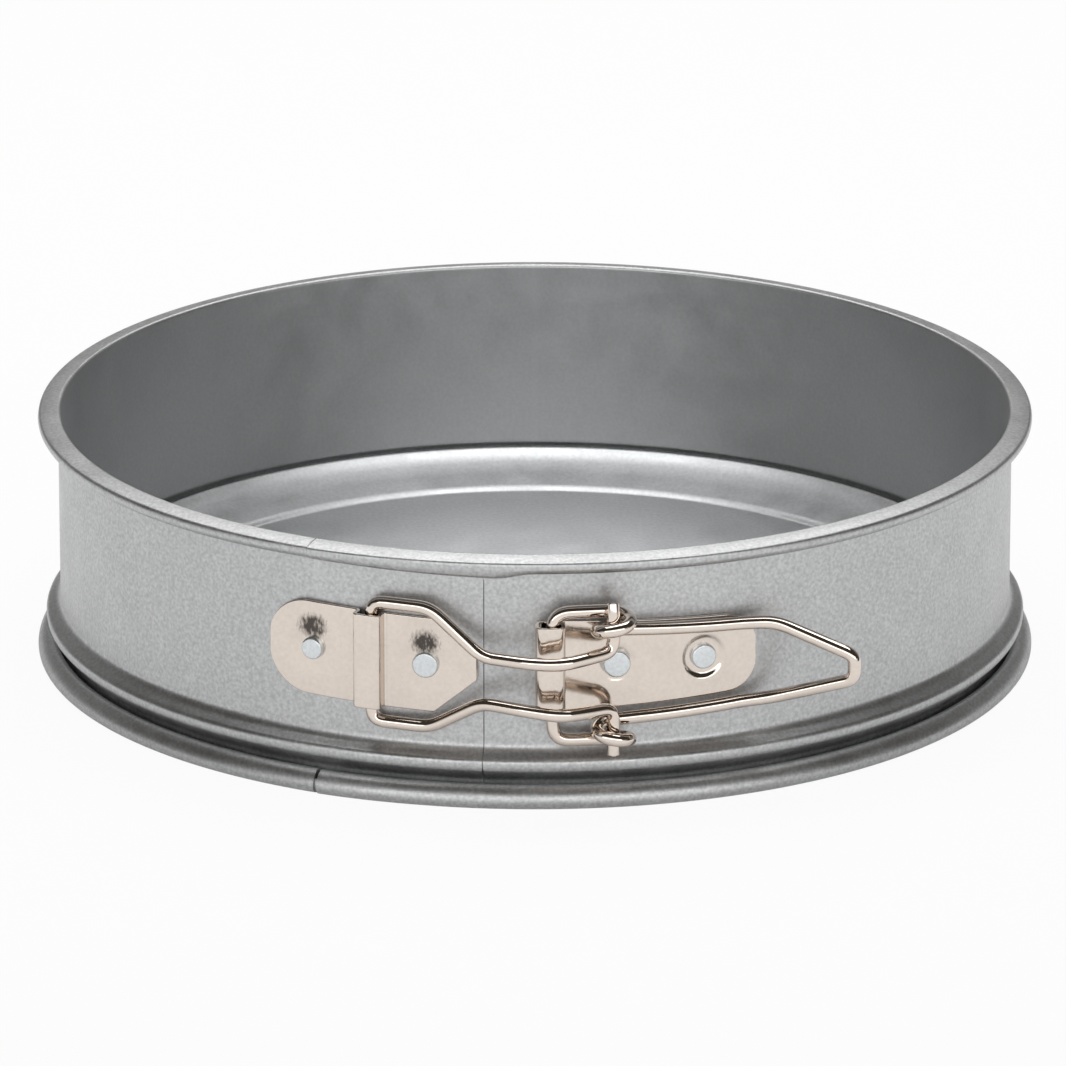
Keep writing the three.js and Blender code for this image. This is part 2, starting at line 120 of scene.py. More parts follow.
# Base: floor, toe, sloping shelf, raised edge and lip, as radius and height of the upper face
BASE_SHEET = 0.8
BASE_TOP = [(103.2, 6.9), (104.5, 8.15), (111.6, 10.5), (115.6, 12.4), (118.4, 14.8)]
BASE_BENDS = [1.4, 1.0, 2.0, 1.8, 0.9, 1.0]
EDGE_FOOT_R = 119.3
LIP_OUT = 1.6
LIP_Z = 10.05
FLOOR_BEND = 2.0
FLOOR_RINGS = 24

# Latch brackets: plates on the wall, the left one with a strap and a nose, the right one with a knuckle
LATCH_Z = 34.2
PLATE = 1.0
PLATE_GAP = 0.3
PLATE_STEP = 0.3
LINK_PLATE_S = (-67.7, -13.9)
LINK_PLATE_HALF = 12.0
LINK_CORNER = 11.0
LINK_RISE = 1.3
LINK_TILT = 0.035
NOSE_HALF = 2.9
NOSE_RUN = 10.6
TUNNEL_S = -40.4
TUNNEL_IN = 5.0
TUNNEL_ROOF = 3.9
TUNNEL_BEND = 1.0
LEVER_PLATE_END_S = 55.4
LEVER_PLATE_HALF = 11.5
LEVER_END_HALF = 10.1
LEVER_TAPER_S = 47.0
LEVER_CORNER = 8.5
LEVER_RISE = 2.0
KNUCKLE_S = 4.1
KNUCKLE_HALF = 11.3
KNUCKLE_H = 3.9
KNUCKLE_R = 3.0
ROLL_S = (0.5, 6.7)
ROLL_H = (1.9, 6.4)
ROLL_BEND = 2.1

# Each rivet: place along the wall and head radius, then radius, depth and edge width of its dimple
RIVETS = {
    "link_rivet_outer": (-55.6, 2.8, 8.2, 0.42, 5.4),
    "link_rivet_inner": (-26.6, 3.25, 7.6, 0.42, 4.6),
    "lever_rivet_inner": (19.7, 3.4, 5.4, 0.5, 2.2),
    "lever_rivet_outer": (41.5, 3.2, 5.9, 0.85, 1.6),
}
RIVET_T = 1.5
RIVET_DOME = 0.12
RIVET_BEND = 0.9
RIVET_SEAT_GAP = 0.02
SHANK_R = 1.9
TAIL_R = 2.7
TAIL_T = 0.8
TAIL_BEVEL = 0.2
TAIL_GAP = 0.3

# Painted dark reflections above the left bracket's rivets, standing in for the dimples mirroring the shade
# by the tin's foot: height over the rivet, half width and half height
DARK_REFLECTION_UP = 5.6
DARK_REFLECTION_HALF = (5.4, 5.0)

# Latch wires
WIRE_R = 1.65
WIRE_STEP = 0.35
WIRE_SOFT = 3
WIRE_CHAMFER = 0.35

# Lever: places from its pivot or along the wall, heights from the latch line
LEVER_END_Z = 2.1
ARM_Z = 16.4
ARM_BEND = 4.0
EYE_RIGHT = 14.8
EYE_OUT = 2.2
EYE_R = 4.15
EYE_STEPS = 48
HANDLE_Z = 11.6
HANDLE_H = 3.25
HANDLE_FIRST = 0.3
HANDLE_REST_S = 50.0
HANDLE_POINTS = 8
HANDLE_BEND = (58.5, 4.95)
HANDLE_BEND_Z = 9.65
HANDLE_ROUND = 3.4
TIP_Z = 3.0
TIP_RIGHT = 73.5
TIP_OUT = -7.0

# Draw link: shoulder and waist as places along the wall and out from it, the waist's half height third
LINK_PIN_S = -39.85
LINK_WIDE_Z = 15.3
LINK_SHOULDER = (-25.0, 3.2)
LINK_WAIST = (-12.2, 6.8, 5.9)
LINK_ARCH_H = 14.4
LINK_ARCH_FOOT = 0.85
LINK_END_Z = 7.2
LINK_STUB_Z = 19.3
LINK_ROUND = 2.8
STUB_BEND_Z = 15.8
STUB_LEAN = 1.2

# Mesh making: steps, rounding and welding
LEG_SHARE = 0.49
BEND_STEPS = 8
ROLL_SAMPLES = 600
FOLD_SLACK = 0.004
SECTOR_DEGREES = 1.2
LATHE_STEPS = 240
RIVET_STEPS = 64
TUBE_SIDES = 28
STRIP_ROWS = 44
STRIP_EDGE = 0.28
STRIP_END = 0.02
WELD = 1e-7
SAME_PLACE = 1e-9
SHARP_DEGREES = 38.0

WALL_OUT = INNER_R + SHEET
WALL_MID = INNER_R + SHEET / 2
RIM_R = WALL_OUT + RIM_OUT
FOOT_R = WALL_OUT + FOOT_OUT
RIM_MID_Z = TIN_H - RIM_TALL / 2
NECK_MID = WALL_MID + NECK_OUT
HALF_TURN = math.pi * WALL_OUT
PLATE_TOP = PLATE_GAP + PLATE


def on_wall(s, h, z=0.0):
    """Point s along the wall from the latch line, h out from it and z above the latch line."""
    a = s / WALL_OUT
    r = WALL_OUT + h
    return np.array([r * math.sin(a), -r * math.cos(a), LATCH_Z + z])


def rounded(points, reach):
    """Path whose inner corners are rounded; reach is one length or one for each inner corner."""
    points = [np.asarray(p, float) for p in points]
    reaches = reach if isinstance(reach, list) else [reach] * (len(points) - 2)
    out = [points[0]]
    for i in range(1, len(points) - 1):
        before, corner, after = points[i - 1 : i + 2]
        back, on = before - corner, after - corner
        cut = min(reaches[i - 1], LEG_SHARE * np.linalg.norm(back), LEG_SHARE * np.linalg.norm(on))
        first = corner + back / np.linalg.norm(back) * cut
        last = corner + on / np.linalg.norm(on) * cut
        for t in np.linspace(0, 1, BEND_STEPS + 1):
            out.append((1 - t) ** 2 * first + 2 * t * (1 - t) * corner + t * t * last)
    out.append(points[-1])
    return np.array(out)


def even(line, step):
    """The same line in steps of even length."""
    line = np.asarray(line, float)
    lengths = np.concatenate([[0], np.cumsum(np.linalg.norm(np.diff(line, axis=0), axis=1))])
    keep = np.concatenate([[True], np.diff(lengths) > SAME_PLACE])
    count = max(2, int(round(lengths[-1] / step)) + 1)
    want = np.linspace(0, lengths[-1], count)
    return np.column_stack([np.interp(want, lengths[keep], axis) for axis in line[keep].T])


def soften(line, reach):
    """Evens out the bends of an even line; its two ends stay."""
    span = np.arange(-3 * reach, 3 * reach + 1)
    weight = np.exp(-0.5 * (span / reach) ** 2)
    weight /= weight.sum()
    pad = len(span) // 2
    first = 2 * line[0] - line[1 : pad + 1][::-1]
    last = 2 * line[-1] - line[-pad - 1 : -1][::-1]
    padded = np.vstack([first, line, last])
    return np.column_stack([np.convolve(axis, weight, "valid") for axis in padded.T])


def directions(line):
    """Unit vectors along a line, at each of its points."""
    along = np.gradient(line, axis=0)
    return along / np.linalg.norm(along, axis=1)[:, None]


def flat_roll(middle, half, up, down, flatness, turn):
    """Rolled edge round a middle: its upper and lower half have their own height and flatness.

    A flatness of 2 is an ellipse, a higher one is squarer and a lower one more pointed."""
    angle = np.radians(np.linspace(*turn, ROLL_SAMPLES))
    c, s = np.cos(angle), np.sin(angle)
    power = 2 / np.where(s > 0, *flatness)
    tall = np.where(s > 0, up, down)
    r = middle[0] + half * np.sign(c) * np.abs(c) ** power
    z = middle[1] + tall * np.sign(s) * np.abs(s) ** power
    return even(np.column_stack([r, z]), FOOT_STEP)


def sheet_outline(line, thickness):
    """Closed outline of a bent sheet around its middle line, with rounded edges.

    On the inner side of a tight fold, points that would cross over are left out."""
    line = np.asarray(line, float)
    along = directions(line)
    normal = np.column_stack([-along[:, 1], along[:, 0]])
    half = thickness / 2
    turn = np.radians([30, 60, 90, 120, 150])[:, None]
    end = line[-1] + half * (np.cos(turn) * normal[-1] + np.sin(turn) * along[-1])
    start = line[0] - half * (np.cos(turn) * normal[0] + np.sin(turn) * along[0])

    def side(offset):
        points = line + offset * normal
        gap = np.linalg.norm(points[:, None] - line[None], axis=2).min(axis=1)
        return points[gap > half - FOLD_SLACK]

    return np.vstack([side(half), end, side(-half)[::-1], start])


def bridge(rows, n, closed=False):
    """Quads between rows of n points, each row a closed loop."""
    faces = []
    for i in range(rows if closed else rows - 1):
        k = (i + 1) % rows
        for j in range(n):
            m = (j + 1) % n
            faces.append([i * n + j, i * n + m, k * n + m, k * n + j])
    return faces


def closed_ends(rows, n):
    """One face over the first of the rows of n points and one over the last."""
    return [list(range(n))[::-1], list(range((rows - 1) * n, rows * n))]


def sector(outline, from_s, to_s, shape=None):
    """Outline in radius and height swept along the wall, with closed ends.

    shape changes the outline at each distance along the wall."""
    a0, a1 = from_s / WALL_OUT, to_s / WALL_OUT
    rows = max(2, int(math.degrees(abs(a1 - a0)) / SECTOR_DEGREES) + 2)
    n = len(outline)
    verts = []
    for a in np.linspace(a0, a1, rows):
        r, z = (outline if shape is None else shape(outline, a * WALL_OUT)).T
        verts.append(np.column_stack([r * math.sin(a), -r * math.cos(a), z]))
    return np.vstack(verts), closed_ends(rows, n) + bridge(rows, n)


def lathe(outline, steps, place=None):
    """Closed outline turned all round: about the tin's axis, or about a line out of the wall."""
    r, h = outline.T
    verts = []
    for a in np.linspace(0, 2 * math.pi, steps, endpoint=False):
        if place is None:
            ring = np.column_stack([r * math.cos(a), r * math.sin(a), h])
        else:
            seat, out, side = place
            across = side * math.cos(a) + np.array([0, 0, 1]) * math.sin(a)
            ring = seat + np.outer(h, out) + np.outer(r, across)
        verts.append(ring)
    return np.vstack(verts), bridge(steps, len(outline), closed=True)


def tube(line):
    """Round wire along an even line, its cut ends slightly chamfered."""
    along = directions(line)
    askew = [0.3, 0.5, 0.81]  # any direction in which no wire starts
    normal = np.cross(along[0], askew)
    turn = np.linspace(0, 2 * math.pi, TUBE_SIDES, endpoint=False)[:, None]
    rings = []
    for point, tangent in zip(line, along):
        normal = normal - tangent * np.dot(normal, tangent)
        normal /= np.linalg.norm(normal)
        side = np.cross(tangent, normal)
        rings.append(point + WIRE_R * (np.cos(turn) * normal + np.sin(turn) * side))
    narrow = 1 - WIRE_CHAMFER / WIRE_R
    first = [line[0] + (rings[0] - line[0]) * narrow, rings[0] + WIRE_CHAMFER * along[0]]
    last = [rings[-1] - WIRE_CHAMFER * along[-1], line[-1] + (rings[-1] - line[-1]) * narrow]
    rings = first + rings[2:-2] + last
    n = len(rings)
    return np.vstack(rings), closed_ends(n, TUBE_SIDES) + bridge(n, TUBE_SIDES)


def strip(path, half, mid, recess):
    """Upright plate along a line in plan, edges rounded.

    half and mid give its half height and the height of its middle at each point, and recess
    how far the outer face lies back at a distance along the wall and a height."""
    along = directions(path)
    normal = np.column_stack([along[:, 1], -along[:, 0]])
    turn = np.radians([18, 36, 54, 72])
    edge = STRIP_EDGE

    def station(point, out, tall, level, thick):
        flat = np.linspace(-(tall - edge), tall - edge, STRIP_ROWS)
        s = math.atan2(point[0], -point[1]) * WALL_OUT
        front = np.column_stack([flat, thick / 2 - np.array([recess(s, z + level) for z in flat])])
        bend = np.column_stack([tall - edge + edge * np.sin(turn), thick / 2 - edge + edge * np.cos(turn)])
        upper = np.vstack([bend, bend[::-1] * [1, -1]])
        lower = upper[::-1] * [-1, 1]
        back = np.column_stack([flat[::-1], np.full(STRIP_ROWS, -thick / 2)])
        section = np.vstack([front, upper, back, lower])
        return np.column_stack([point + np.outer(section[:, 1], out), LATCH_Z + level + section[:, 0]])

    last = len(path) - 1
    slim = PLATE - 2 * edge + STRIP_END
    loops = []
    for i, (point, out, tall, level) in enumerate(zip(path, normal, half, mid)):
        if i == 0:
            loops.append(station(point, out, tall - edge, level, slim))
            loops.append(station(point + along[i] * edge, out, tall, level, PLATE))
        elif i == last:
            loops.append(station(point - along[i] * edge, out, tall, level, PLATE))
            loops.append(station(point, out, tall - edge, level, slim))
        else:
            loops.append(station(point, out, tall, level, PLATE))
    rows, n = len(loops), len(loops[0])
    return np.vstack(loops), closed_ends(rows, n) + bridge(rows, n)


def build(name, parts, material):
    """One mesh object from parts of (vertices in millimetres, faces), in the part's frame."""
    verts, faces, ends = [], [], [0]
    for points, polygons in parts:
        verts.append(points * MM)
        faces += [[i + ends[-1] for i in polygon] for polygon in polygons]
        ends.append(ends[-1] + len(points))
    mesh = bpy.data.meshes.new(name)
    mesh.from_pydata(np.vstack(verts).tolist(), [], faces)
    shaped = bmesh.new()
    shaped.from_mesh(mesh)
    shaped.verts.ensure_lookup_table()
    shells = [shaped.verts[start:end] for start, end in zip(ends, ends[1:])]
    for shell in shells:
        bmesh.ops.remove_doubles(shaped, verts=shell, dist=WELD)
    loose = [edge for edge in shaped.edges if not edge.link_faces]
    bmesh.ops.delete(shaped, geom=loose, context="EDGES")
    bmesh.ops.recalc_face_normals(shaped, faces=shaped.faces)
    shaped.to_mesh(mesh)
    shaped.free()
    mesh.polygons.foreach_set("use_smooth", [True] * len(mesh.polygons))
    mesh.set_sharp_from_angle(angle=math.radians(SHARP_DEGREES))
    mesh.materials.append(material)
    made = bpy.data.objects.new(name, mesh)
    bpy.context.scene.collection.objects.link(made)
    return made


def grey(value):
    """Opaque grey of one level."""
    return (value, value, value, 1.0)


def shade(colour, factor):
    """The same colour, lighter or darker by a factor."""
    return tuple(min(1.0, c * factor) for c in colour) + (1.0,)


class Nodes:
    """Short way to write a node tree."""

    def __init__(self, owner):
        owner.use_nodes = True
        self.tree = owner.node_tree
        self.tree.nodes.clear()

    def add(self, kind, inputs=None, **settings):
        """New node; each input is a constant or the socket that feeds it."""
        node = self.tree.nodes.new("ShaderNode" + kind)
        for key, value in settings.items():
            setattr(node, key, value)
        for key, value in (inputs or {}).items():
            if isinstance(value, bpy.types.NodeSocket):
                self.tree.links.new(value, node.inputs[key])
            else:
                node.inputs[key].default_value = value
        return node

    def ramp(self, factor, stops):
        """Colour that runs through stops of (place, colour)."""
        node = self.add("ValToRGB", {"Fac": factor})
        elements = node.color_ramp.elements
        while len(elements) < len(stops):
            elements.new(0.5)
        for element, (place, colour) in zip(elements, stops):
            element.position = place
            element.color = colour
        return node.outputs["Color"]

    def fade(self, factor, span, start, end):
        """Grey that runs from one level to another while the factor crosses a span."""
        return self.ramp(factor, [(span[0], grey(start)), (span[1], grey(end))])

    def combine(self, operation, first, second):
        """One value from two."""
        return self.add("Math", {0: first, 1: second}, operation=operation).outputs[0]

    def mix(self, factor, under, over, blend_type="MIX"):
        """One colour over another by a factor."""
        inputs = {"Factor": factor, "A": under, "B": over}
        return self.add("Mix", inputs, data_type="RGBA", blend_type=blend_type).outputs["Result"]


# Metal finishes: most of a noise's values lie in NOISE_SPAN, and edges are where pointiness is in EDGE_SPAN
NOISE_SPAN = (0.3, 0.7)
EDGE_SPAN = (0.53, 0.62)
CLOUD = {"Scale": 95.0, "Detail": 5.0, "Roughness": 0.62}
GRAIN = {"Detail": 2.0, "Roughness": 0.55}
GRAIN_DEPTH = 0.00006
FAINT_GRAIN = 0.3
ROUGH_SPREAD = (0.86, 1.16)
WORN_TONE = 1.18
SPECULAR = 0.25
# Painted dark reflection, shade mirrored in a dimple: its colour, reach, soft edge, cover, streak stretch
# and noise
DARK_REFLECTION_COLOUR = (0.035, 0.03, 0.026, 1.0)
DARK_REFLECTION_REACH = (0.15, 1.0)
DARK_REFLECTION_EDGE = (0.14, 0.42)
DARK_REFLECTION_COVER = 0.92
STREAK = (1.0, 1.0, 0.45)
DARK_REFLECTION_NOISE = {"Scale": 1500.0, "Detail": 3.0}


def painted_dark_reflection(nodes, where, under, place, half_wide, half_high):
    """Painted dark reflection: a dark, streaky patch over a colour, standing in for shade mirrored in a
    dimple.
    """
    scale = (1 / half_wide, 0.0, 1 / half_high)
    middle = tuple(-c * k for c, k in zip(place, scale))
    local = nodes.add("Mapping", {"Vector": where, "Location": middle, "Scale": scale})
    reach = nodes.add("VectorMath", {0: local.outputs["Vector"]}, operation="LENGTH")
    near = nodes.fade(reach.outputs["Value"], DARK_REFLECTION_REACH, 1.0, 0.0)
    streak = nodes.add("Mapping", {"Vector": where, "Scale": STREAK})
    streaky_noise = nodes.add("TexNoise", {"Vector": streak.outputs["Vector"], **DARK_REFLECTION_NOISE})
    patchy = nodes.combine("MULTIPLY", near, streaky_noise.outputs["Fac"])
    return nodes.mix(nodes.fade(patchy, DARK_REFLECTION_EDGE, 0.0, DARK_REFLECTION_COVER), under, DARK_REFLECTION_COLOUR)


def speckle(nodes, where, grain, inside):
    """Fine grain; within the radius inside, in metres from the tin's axis, it is fainter."""
    noise = nodes.add("TexNoise", {"Vector": where, "Scale": grain, **GRAIN}).outputs["Fac"]
    if inside is None:
        return noise
    plan = nodes.add("VectorMath", {0: where, 1: (1.0, 1.0, 0.0)}, operation="MULTIPLY")
    radius = nodes.add("VectorMath", {0: plan.outputs["Vector"]}, operation="LENGTH")
    wall = {"From Min": inside, "From Max": inside + SHEET * MM, "To Min": FAINT_GRAIN}
    strength = nodes.add("MapRange", {"Value": radius.outputs["Value"], **wall})
    faint = nodes.add("Mix", {"Factor": strength.outputs["Result"], "A": 0.5, "B": noise})
    return faint.outputs["Result"]


def metal_finish(
    name, colour, rough, metallic, mottle, grain, fleck, bump, wear, dark_reflections=(), inside=None
):
    """Metal with cloudy colour, fine grain, uneven roughness, rubbed edges and painted dark reflections.

    Each painted dark reflection is the place of its middle in metres and its half width and half height,
    and within the radius inside the grain is fainter."""
    material = bpy.data.materials.new(name)
    nodes = Nodes(material)
    where = nodes.add("TexCoord").outputs["Object"]
    cloud = nodes.add("TexNoise", {"Vector": where, **CLOUD}).outputs["Fac"]
    speck = speckle(nodes, where, grain, inside)
    dull, bright = shade(colour, 1 - mottle), shade(colour, 1 + mottle)
    tone = nodes.ramp(cloud, [(NOISE_SPAN[0], dull), (NOISE_SPAN[1], bright)])
    toned = nodes.mix(1.0, tone, nodes.fade(speck, NOISE_SPAN, 1 - fleck, 1.0), "MULTIPLY")
    edge = nodes.fade(nodes.add("NewGeometry").outputs["Pointiness"], EDGE_SPAN, 0.0, 1.0)
    final = nodes.mix(nodes.combine("MULTIPLY", edge, wear), toned, shade(colour, WORN_TONE))
    # Painted dark reflections laid over the colour
    for place, half_wide, half_high in dark_reflections:
        final = painted_dark_reflection(nodes, where, final, place, half_wide, half_high)
    span = {"From Min": NOISE_SPAN[0], "From Max": NOISE_SPAN[1]}
    levels = {"To Min": rough * ROUGH_SPREAD[0], "To Max": rough * ROUGH_SPREAD[1]}
    uneven = nodes.add("MapRange", {"Value": cloud, **span, **levels})
    relief = nodes.add("Bump", {"Height": speck, "Strength": bump, "Distance": GRAIN_DEPTH})
    surface = nodes.add(
        "BsdfPrincipled",
        {
            "Base Color": final,
            "Metallic": metallic,
            "Roughness": uneven.outputs["Result"],
            "Specular IOR Level": SPECULAR,
            "Normal": relief.outputs["Normal"],
        },
    )
    nodes.add("OutputMaterial", {"Surface": surface.outputs["BSDF"]})
    return material


BAND_FINISH = {
    "colour": (0.6, 0.605, 0.61),
    "rough": 0.4,
    "metallic": 0.94,
    "mottle": 0.03,
    "grain": 1150.0,
    "fleck": 0.28,
    "bump": 0.28,
    "wear": 0.2,
}
BASE_FINISH = {
    "colour": (0.68, 0.694, 0.706),
    "rough": 0.4,
    "metallic": 0.88,
    "mottle": 0.03,
    "grain": 1000.0,
    "fleck": 0.14,
    "bump": 0.15,
    "wear": 0.15,
}
PLATE_FINISH = {
    "colour": (0.71, 0.635, 0.57),
    "rough": 0.12,
    "metallic": 1.0,
    "mottle": 0.04,
    "grain": 900.0,
    "fleck": 0.06,
    "bump": 0.12,
    "wear": 0.2,
}
WIRE_FINISH = {
    "colour": (0.75, 0.665, 0.595),
    "rough": 0.07,
    "metallic": 1.0,
    "mottle": 0.03,
    "grain": 900.0,
    "fleck": 0.05,
    "bump": 0.06,
    "wear": 0.2,
}
RIVET_FINISH = {
    "colour": (0.74, 0.775, 0.79),
    "rough": 0.3,
    "metallic": 0.85,
    "mottle": 0.05,
    "grain": 1200.0,
    "fleck": 0.15,
    "bump": 0.25,
    "wear": 0.3,
}
band_coating = metal_finish("band_coating", **BAND_FINISH, inside=INNER_R * MM)
base_coating = metal_finish("base_coating", **BASE_FINISH)
nickel_plate = metal_finish("nickel_plate", **PLATE_FINISH)
nickel_wire = metal_finish("nickel_wire", **WIRE_FINISH)
rivet_alloy = metal_finish("rivet_alloy", **RIVET_FINISH)

# Band cross-section as the middle line of its sheet, from the rim's free edge to the foot's
rim_top = TIN_H - SHEET / 2
rim_low = TIN_H - RIM_TALL + SHEET / 2
rim_edge = RIM_R - SHEET / 2
rim_corners = [
    (WALL_MID, rim_top),
    (WALL_MID + RIM_CROWN[0], rim_top - RIM_CROWN[1]),
    (rim_edge - RIM_SHOULDER[0], rim_top - RIM_SHOULDER[1]),
    (rim_edge, RIM_FACE_Z),
    (RIM_R - 2 * SHEET, rim_low),
    (WALL_MID + 2 * SHEET, rim_low),
]
rim_path = [(WALL_MID + 2 * SHEET, RIM_MID_Z), *rim_corners[::-1], (WALL_MID, RIM_MID_Z)]
rim_roll = even(rounded(rim_path, RIM_BENDS), RIM_STEP)
foot_edge = FOOT_R - SHEET / 2
foot_roll = flat_roll(
    middle=((NECK_MID + foot_edge) / 2, FOOT_NOSE_Z),
    half=(foot_edge - NECK_MID) / 2,
    up=FOOT_TALL - SHEET / 2 - FOOT_NOSE_Z,
    down=FOOT_NOSE_Z - SHEET / 2,
    flatness=FOOT_FLAT,
    turn=FOOT_TURN,
)


def band_line(top, bottom):
    """Wall, bead and neck between two ends of the section."""
    corners = [
        top,
        (WALL_MID, BEAD_TOP_Z),
        (WALL_MID + BEAD_STEP[0], BEAD_STEP[1]),
        (WALL_MID + BEAD_OUT, BEAD_Z + BEAD_NOSE),
        (WALL_MID + BEAD_OUT, BEAD_Z - BEAD_NOSE),
        (NECK_MID, NECK_Z),
        bottom,
    ]
    return even(rounded(corners, BEAD_BENDS), BAND_STEP)


whole_line = np.vstack([rim_roll[:-1], band_line(rim_roll[-1], foot_roll[0]), foot_roll[1:]])
no_rim_line = np.vstack([band_line((WALL_MID, LEFT_TOP_Z), foot_roll[0]), foot_roll[1:]])
wall_line = band_line((WALL_MID, LEFT_TOP_Z), (NECK_MID, LEFT_LOW_Z))
rim_tongue_line = np.vstack([rim_roll, [[WALL_MID, TONGUE_TOP_Z]]])
foot_tongue_line = np.vstack([[[NECK_MID, TONGUE_LOW_Z]], foot_roll])
seam_back_line = band_line((WALL_MID, LAP_Z[0]), (NECK_MID, NECK_Z - SEAM_BACK_LOW)) - [SHEET, 0.0]
lap_r = (INNER_R - LAP_GAP - SHEET, INNER_R - LAP_GAP)
lap_outline = np.array(
    [(lap_r[0], LAP_Z[0]), (lap_r[1], LAP_Z[0]), (lap_r[1], LAP_Z[1]), (lap_r[0], LAP_Z[1])]
)


def core(outline):
    """The same outline drawn in towards its middle, to fill a roll's open end."""
    outline = np.asarray(outline)
    middle = outline.mean(axis=0)
    return middle + CORE_SCALE * (outline - middle)


def past_wall(r):
    """Share that grows from 0 at the wall's outer face to 1 a little out from it."""
    return np.clip((r - WALL_OUT) / ROLL_RAMP, 0, 1)


def swell(outline, s, end_s):
    """The roll of the outer end is a little fuller where it ends over the inner one."""
    amount = np.interp(s, [end_s, end_s + SWELL_RUN], [TONGUE_SWELL, 0.0])
    r, z = outline.T
    return np.column_stack([r + amount * past_wall(r), z])


def droop(outline, s):
    """The lower side of the rolled rim hangs lower towards the seam."""
    amount = np.interp(s, DROOP_S, [0.0, 1.0, 0.0])
    r, z = swell(outline, s, RIM_TONGUE_S).T
    weight = past_wall(r) * np.clip((RIM_MID_Z - z) / (RIM_TALL / 2), 0, 1)
    in_rim = z > RIM_MID_Z - RIM_TALL
    return np.column_stack([r, z - RIM_DROOP * amount * weight * in_rim])


def foot_swell(outline, s):
    """The foot's roll swells like the rim's, by its own end."""
    return swell(outline, s, FOOT_TONGUE_S)


# Left half: its rim and foot stop short of the right half's tongues, its wall runs on to the seam
rim_core = core(rim_corners)
foot_core = core(foot_roll[: int(CORE_SHARE * len(foot_roll))])
rim_end_s = RIM_TONGUE_S - SLIDE_GAP
foot_end_s = FOOT_TONGUE_S - FOOT_NOTCH
band_left = build(
    "band_left_sheet",
    [
        sector(sheet_outline(whole_line, SHEET), -HALF_TURN, rim_end_s),
        sector(sheet_outline(no_rim_line, SHEET), rim_end_s, foot_end_s),
        sector(sheet_outline(wall_line, SHEET), foot_end_s, SEAM_S),
        sector(rim_core, RIM_TONGUE_S - CORE_OUT, RIM_TONGUE_S + CORE_IN),
        sector(foot_core, FOOT_TONGUE_S - CORE_OUT, FOOT_TONGUE_S + CORE_IN),
    ],
    band_coating,
)

# Right half: whole from the seam on, with a rim and a foot tongue over the left half and a lap inside it
seam_end_s = SEAM_S + SEAM_GAP
band_right = build(
    "band_right_sheet",
    [
        sector(sheet_outline(whole_line, SHEET), seam_end_s, HALF_TURN, shape=droop),
        sector(sheet_outline(rim_tongue_line, SHEET), RIM_TONGUE_S, seam_end_s, shape=droop),
        sector(sheet_outline(foot_tongue_line, SHEET), FOOT_TONGUE_S, seam_end_s, shape=foot_swell),
        sector(lap_outline, *LAP_S),
        sector(sheet_outline(seam_back_line, SEAM_GAP), *SEAM_BACK_S),
    ],
    band_coating,
)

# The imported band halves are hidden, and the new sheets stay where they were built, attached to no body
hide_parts("band_left")
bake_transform(band_left)
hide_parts("band_right")
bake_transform(band_right)

# Base sheet
half_sheet = BASE_SHEET / 2
floor_z = BASE_TOP[0][1] - half_sheet
base_corners = [
    (0.0, floor_z),
    *[(r, z - half_sheet) for r, z in BASE_TOP],
    (EDGE_FOOT_R, LIP_Z + half_sheet),
    (INNER_R + LIP_OUT, LIP_Z + half_sheet),
]
floor_r = np.linspace(0, BASE_TOP[0][0] - FLOOR_BEND, FLOOR_RINGS)
floor_line = np.column_stack([floor_r, np.full(FLOOR_RINGS, floor_z)])
base_line = np.vstack([floor_line, rounded(base_corners, BASE_BENDS)[1:]])
base_outline = sheet_outline(base_line, BASE_SHEET)
base_outline[:, 0] = np.maximum(base_outline[:, 0], 0.0)
base_sheet = build("base_sheet", [lathe(base_outline, LATHE_STEPS)], base_coating)
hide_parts("base")
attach(base_sheet, "base")


def link_rise(s):
    """Height of the link bracket's middle: the bracket sits a little askew."""
    near = RIVETS["link_rivet_inner"][0]
    return LINK_RISE + LINK_TILT * WALL_OUT * (math.sin(near / WALL_OUT) - math.sin(s / WALL_OUT))


def rivet_rise(s):
    """Height of a rivet, in the middle of its bracket."""
    return link_rise(s) if s < SEAM_S else LEVER_RISE


def dimple(s, z):
    """Depth of the pressed seat round each rivet."""
    depth = 0.0
    for place, _, radius, deep, edge in RIVETS.values():
        reach = math.hypot(s - place, z - rivet_rise(place))
        t = min(1.0, max(0.0, (radius - reach) / edge))
        depth = max(depth, deep * t * t * (3 - 2 * t))
    return depth


def plate_path(points, reach):
    """Points of (s, h) on the wall as a fine line with rounded corners, and the same line in plan."""
    fine = even(rounded(points, reach), PLATE_STEP)
    return fine, np.array([on_wall(s, h)[:2] for s, h in fine])


def corner_height(gap, radius, tall):
    """Half height of a plate at a distance from its rounded end."""
    lost = max(0.0, radius - max(gap, 0.0))
    return tall - radius + math.sqrt(max(radius * radius - lost * lost, 0.0))


# Link bracket: plate with a raised strap over the link's cross-bar and a chamfered nose
plate_mid = PLATE_GAP + PLATE / 2
strap_half = TUNNEL_IN / 2 + PLATE / 2
strap_mid = TUNNEL_ROOF + PLATE / 2
link_points = [
    (LINK_PLATE_S[0], plate_mid),
    (TUNNEL_S - strap_half, plate_mid),
    (TUNNEL_S - strap_half, strap_mid),
    (TUNNEL_S + strap_half, strap_mid),
    (TUNNEL_S + strap_half, plate_mid),
    (LINK_PLATE_S[1], plate_mid),
]
link_fine, link_path = plate_path(link_points, TUNNEL_BEND)


def link_half(s):
    """Half height of the link bracket: round at its far end, narrowed at its nose."""
    tall = corner_height(s - LINK_PLATE_S[0], LINK_CORNER, LINK_PLATE_HALF)
    nose = NOSE_HALF + (LINK_PLATE_HALF - NOSE_HALF) * (LINK_PLATE_S[1] - s) / NOSE_RUN
    return min(tall, nose)
